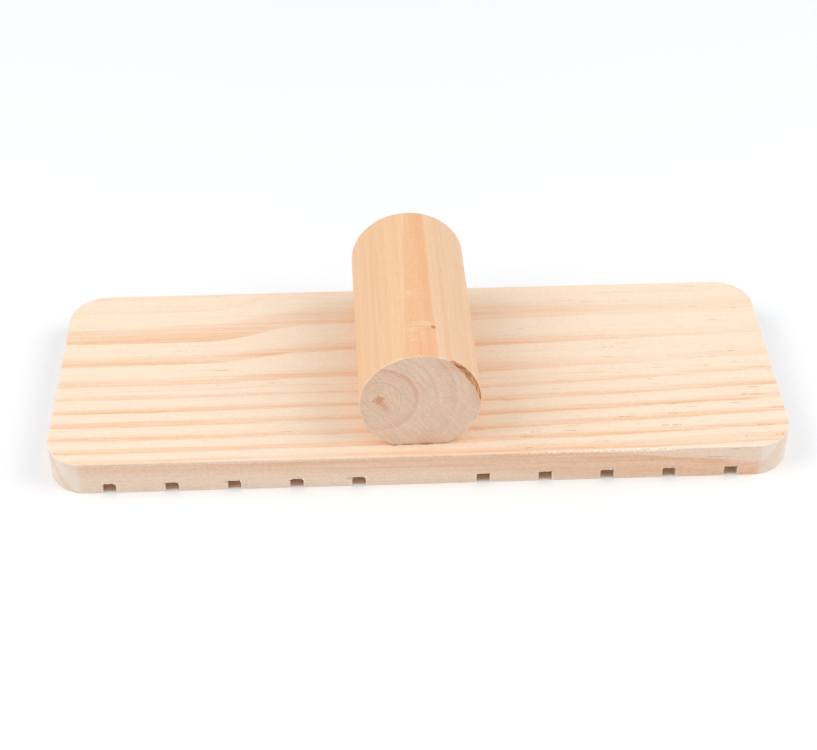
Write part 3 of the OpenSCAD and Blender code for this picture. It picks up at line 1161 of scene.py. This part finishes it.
def makeGrip():
    mesh = bmesh.new()
    loops = gripLoops(mesh, mesh.verts.layers.float.new("torn"))
    for near, far in zip(loops, loops[1:]):
        band(mesh, near, far)
    # each sawn end: a narrow border first, so that the broken rim's colour stays on the rim
    for loop in (loops[0], loops[-1]):
        middle = sum((v.co for v in loop), Vector()) / len(loop)
        border = []
        for vert in loop:
            inward = (middle - vert.co).normalized() * gripShape["border"]
            border.append(mesh.verts.new(vert.co + inward))
        band(mesh, loop, border)
        mesh.faces.new(border)
    bmesh.ops.recalc_face_normals(mesh, faces=mesh.faces)
    piece = newPiece("round_grip")
    mesh.to_mesh(piece.data)
    mesh.free()
    piece.data.materials.append(gripPine)
    drills = newPiece("grip_drills")
    tool = bmesh.new()
    radius, depth = gripShape["holeRadius"], gripShape["holeDepth"]
    for x, y in screwPlaces:
        middle = Matrix.Translation((x, y, gripLow.z + depth / 2 - gripShape["holeStart"]))
        bmesh.ops.create_cone(tool, cap_ends=True, segments=32, radius1=radius, radius2=radius,
                              depth=depth, matrix=middle)
    tool.to_mesh(drills.data)
    tool.free()
    drill = piece.modifiers.new("pilotHoles", "BOOLEAN")
    drill.object = drills
    drill.solver = "EXACT"
    drill.operation = "DIFFERENCE"
    settle(piece, gripShape["smoothAngle"])
    bpy.data.objects.remove(drills)
    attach(piece, "root")
    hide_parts("grip")


makeGrip()


glueBead = {
    "thick": 0.55 * mm,
    "flattened": 0.55,            # height of the bead's section, as a share of its width
    "uneven": 0.45,
    "seed": 6,
    "holeDiameter": 4.2 * mm,
    "short": 0.4 * mm,            # how much shorter the film is than the grip
    "cornerRadius": 0.8 * mm,
    "steps": 420,                 # points round the film
    "lumps": 260.0,               # noise cells in a metre
    "smoothAngle": 60,
}


def makeGlueTree():
    # a thin film with an uneven bead squeezed out all round it
    tree, given, end = newTree(
        "squeezedGlue", "Width, Length, Film, Bead, Uneven, Hole Diameter, Screw Spacing, Seed", {})
    outline = geo(tree, "CurvePrimitiveQuadrilateral", {0: given["Width"], 1: given["Length"]})
    outline = geo(tree, "FilletCurve", {0: outline, "Count": 5, "Radius": glueBead["cornerRadius"]},
                  mode="POLY")
    outline = geo(tree, "ResampleCurve", {0: outline, "Count": glueBead["steps"]})
    place = stretch(geo(tree, "InputPosition"), [glueBead["lumps"]] * 3)
    swell = cloud(vectorMath("ADD", place, joinXyz(0.0, 0.0, given["Seed"])))
    thick = given["Bead"] * ramp(swell, 0.3, 0.7, 1.0 - given["Uneven"], 1.0 + given["Uneven"])
    circle = geo(tree, "CurvePrimitiveCircle", {"Resolution": 8, "Radius": 1.0})
    bead = geo(tree, "Transform", {0: swept(tree, outline, circle, thick),
                                   "Scale": (1.0, 1.0, glueBead["flattened"])})
    sheet = geo(tree, "MeshCube", {0: joinXyz(given["Width"], given["Length"], given["Film"])})
    hole = cylinder(tree, 32, given["Hole Diameter"] * 0.5, 10 * mm)
    holes = atScrews(tree, given["Screw Spacing"], hole)
    closeTree(tree, end, cutOut(tree, unite(tree, sheet, bead), holes), given["Material"])
    return tree


def makeGlue():
    piece = newPiece("dried_glue_line")
    addTree(piece, makeGlueTree(), {
        "Width": 2 * flatHalf, "Length": gripLength - glueBead["short"], "Film": filmHigh.z - filmLow.z,
        "Bead": glueBead["thick"], "Uneven": glueBead["uneven"],
        "Hole Diameter": glueBead["holeDiameter"], "Screw Spacing": screwSpacing,
        "Seed": float(glueBead["seed"]), "Material": driedGlue})
    settle(piece, glueBead["smoothAngle"])
    middle = Vector((gripCentre.x, gripCentre.y, (filmLow.z + filmHigh.z) / 2))
    piece.data.transform(Matrix.Translation(middle) @ gripTurn)
    for vert in piece.data.vertices:
        vert.co.z = max(vert.co.z, boardTop)
    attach(piece, "root")
    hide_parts("glue_film")


makeGlue()


woodScrew = {
    "Core Diameter": 3.0 * mm,
    "Thread Diameter": 4.2 * mm,
    "Pitch": 1.8 * mm,
    "Head Rim": 0.4 * mm,
    "Head Cone": 1.9 * mm,
    "Point": 5.0 * mm,
    "Recess Length": 4.4 * mm,
    "Recess Width": 1.1 * mm,
    "Recess Depth": 2.0 * mm,
}
screwLooks = {
    "headSides": 48,
    "shankSides": 32,
    "shankStart": 0.5 * mm,
    "tipRadius": 0.12 * mm,
    "overlap": 0.01 * mm,         # how far the parts reach into each other
    "threadSteps": 28,            # points in one turn of the thread
    "threadShort": 0.6 * mm,      # the thread stops this far below the tip
    "threadFoot": 0.93,           # its foot lies a little inside the core
    "ridge": (1.35, 0.7, 1.0),    # its section, stretched from a triangle
    "ridgeShare": 0.68,
    "turns": (24, 65),            # degrees that the front and the rear screw are turned
    "smoothAngle": 30,
}


def makeScrewTree():
    # a countersunk screw standing on its head, with its thread wound up the shank
    tree, given, end = newTree("woodScrew", ", ".join(woodScrew) + ", Length, Head Diameter", {})
    core = given["Core Diameter"] * 0.5
    headRadius = given["Head Diameter"] * 0.5
    pointStart = given["Length"] - given["Point"]
    rim = cylinder(tree, screwLooks["headSides"], headRadius, given["Head Rim"])
    cone = taperedCone(tree, screwLooks["headSides"], headRadius, core, given["Head Cone"])
    # the shank starts a little above the face of the head, inside the cone
    under = screwLooks["shankStart"]
    shank = cylinder(tree, screwLooks["shankSides"], core, pointStart - under)
    tip = taperedCone(tree, screwLooks["shankSides"], core, screwLooks["tipRadius"], given["Point"])

    # thread: a helix swept with a thin triangle that shrinks along the point
    threadStart = given["Head Rim"] + given["Head Cone"] + given["Pitch"] * 2.0
    threadHeight = given["Length"] - threadStart - screwLooks["threadShort"]
    helix = geo(tree, "CurveSpiral", {
        "Resolution": screwLooks["threadSteps"], "Rotations": threadHeight / given["Pitch"],
        "Start Radius": 1.0, "End Radius": 1.0, "Height": threadHeight})
    x, y, z = splitXyz(geo(tree, "InputPosition"))
    taper = 1.0 - larger(z - (pointStart - threadStart), 0.0) / given["Point"]
    rootRadius = core * screwLooks["threadFoot"] * taper
    helix = geo(tree, "SetPosition", {0: helix, "Position": joinXyz(x * rootRadius, y * rootRadius, z)})
    helix = geo(tree, "SetCurveNormal", {0: helix}, mode="Z_UP")
    ridge = geo(tree, "CurvePrimitiveCircle", {"Resolution": 3, "Radius": 1.0}, mode="RADIUS")
    ridge = geo(tree, "Transform", {0: ridge, "Scale": screwLooks["ridge"]})
    factor = geo(tree, "SplineParameter")
    runOut = ramp(factor, 0.0, 0.03) * ramp(factor, 1.0, 0.88)
    ridgeSize = (given["Thread Diameter"] - given["Core Diameter"]) * 0.5 * screwLooks["ridgeShare"]
    thread = swept(tree, helix, ridge, ridgeSize * larger(runOut, 0.05), closed=True)

    overlap = screwLooks["overlap"]
    body = unite(tree, lift(tree, rim, given["Head Rim"] * 0.5),
                 lift(tree, cone, given["Head Rim"] - overlap),
                 lift(tree, shank, (pointStart + under) * 0.5),
                 lift(tree, tip, pointStart - overlap),
                 lift(tree, thread, threadStart))
    arm = geo(tree, "MeshCube", {0: joinXyz(given["Recess Length"], given["Recess Width"],
                                            given["Recess Depth"] * 2.0)})
    arms = [geo(tree, "Transform", {0: arm, "Rotation": (0.0, 0.0, turn)}) for turn in (0.0, math.pi / 2)]
    closeTree(tree, end, cutOut(tree, body, unite(tree, *arms)), given["Material"])
    return tree


def makeScrews():
    tree = makeScrewTree()
    names = (("front_screw", "front_wood_screw"), ("rear_screw", "rear_wood_screw"))
    for number, (node, name) in enumerate(names):
        low, high = screwBoxes[number]
        x, y = screwPlaces[number]
        piece = newPiece(name)
        addTree(piece, tree, {**woodScrew, "Length": high.z - low.z, "Head Diameter": high.x - low.x,
                              "Material": zincPlate})
        settle(piece, screwLooks["smoothAngle"])
        turn = math.radians(screwLooks["turns"][number])
        piece.data.transform(Matrix.Translation((x, y, low.z)) @ Matrix.Rotation(turn, 4, "Z"))
        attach(piece, "root")
        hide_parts(node)


makeScrews()
print("pieces made")


studio = {
    "boxSize": 1.0, "boxPower": 6.2, "boxPlace": (0.90, -0.15, 0.90),   # one softbox each side
    "frontSize": 1.2, "frontPower": 1.0, "frontPlace": (0.15, -1.4, 0.5),
    "world": 0.615,
    "lampColour": (1.10, 1.0, 0.89),
    "worldColour": (0.945, 1.0, 1.06, 1.0),
    "paper": [(0.915, 0.936, 0.966, 1), (0.923, 0.944, 0.972, 1)],
    # painted shade on the paper under the board, seen through the slot mouths
    "underBoard": (0.90, 0.60, 0.40, 1),
}
eye = {
    "lens": 73.3, "yaw": 1.732, "down": 40.353, "roll": -0.440,   # millimetres and degrees
    "aim": Vector((-2.22, 10.86, 0.0)) * mm, "distance": 577.8 * mm,
}


def makeFloor():
    mesh = bpy.data.meshes.new("floor")
    reach = 6.0
    mesh.from_pydata([(-reach, -reach, 0), (reach, -reach, 0), (reach, reach, 0), (-reach, reach, 0)], [],
                     [(0, 1, 2, 3)])
    floor = newPiece("floor", mesh)
    material, tree, shader = newMaterial("palePaper", 0.9, 0.1)
    place, _ = millimetres(tree)
    paper = mixColour(cloud(place, 0.01, 2.0), *studio["paper"])
    # painted shade: the paper under the board is brown, so the slot mouths look deep and warm
    x, y, _ = splitXyz(place)
    under = ramp(outlineDistance(x, y), 0.5, 1.4)
    feed(shader.inputs["Base Color"], mixColour(under, paper, studio["underBoard"]))
    mesh.materials.append(material)


def makeLamp(name, place, aim, size, power):
    data = bpy.data.lights.new(name, "AREA")
    data.shape = "DISK"
    data.size = size
    data.energy = power
    data.color = studio["lampColour"]
    lamp = bpy.data.objects.new(name, data)
    bpy.context.scene.collection.objects.link(lamp)
    lamp.location = place
    lamp.rotation_euler = (Vector(aim) - Vector(place)).to_track_quat("-Z", "Y").to_euler()


def makeCamera():
    yaw, down, roll = (math.radians(eye[k]) for k in ("yaw", "down", "roll"))
    ahead = Vector((math.sin(yaw) * math.cos(down), math.cos(yaw) * math.cos(down), -math.sin(down)))
    right = Vector((math.cos(yaw), -math.sin(yaw), 0))
    up = right.cross(ahead)
    rolledRight = right * math.cos(roll) + up * math.sin(roll)
    rolledUp = up * math.cos(roll) - right * math.sin(roll)
    data = bpy.data.cameras.new("eye")
    data.sensor_fit = "HORIZONTAL"
    data.sensor_width = 36
    data.lens = eye["lens"]
    data.clip_start, data.clip_end = 0.01, 50
    camera = bpy.data.objects.new("eye", data)
    bpy.context.scene.collection.objects.link(camera)
    turned = Matrix((rolledRight, rolledUp, -ahead)).transposed()
    camera.matrix_world = Matrix.Translation(eye["aim"] - ahead * eye["distance"]) @ turned.to_4x4()
    bpy.context.scene.camera = camera


def makeWorld():
    world = bpy.data.worlds.new("room")
    world.use_nodes = True
    background = world.node_tree.nodes["Background"].inputs
    background["Color"].default_value = studio["worldColour"]
    background["Strength"].default_value = studio["world"]
    bpy.context.scene.world = world
    bpy.context.scene.view_settings.view_transform = "Standard"


makeFloor()
for side, label in ((-1, "left"), (1, "right")):
    boxX, boxY, boxZ = studio["boxPlace"]
    makeLamp(label, (side * boxX, boxY, boxZ), (0, 0, 0), studio["boxSize"], studio["boxPower"])
makeLamp("front", studio["frontPlace"], (0, 0, 0.02), studio["frontSize"], studio["frontPower"])
makeCamera()
makeWorld()
print("studio made")
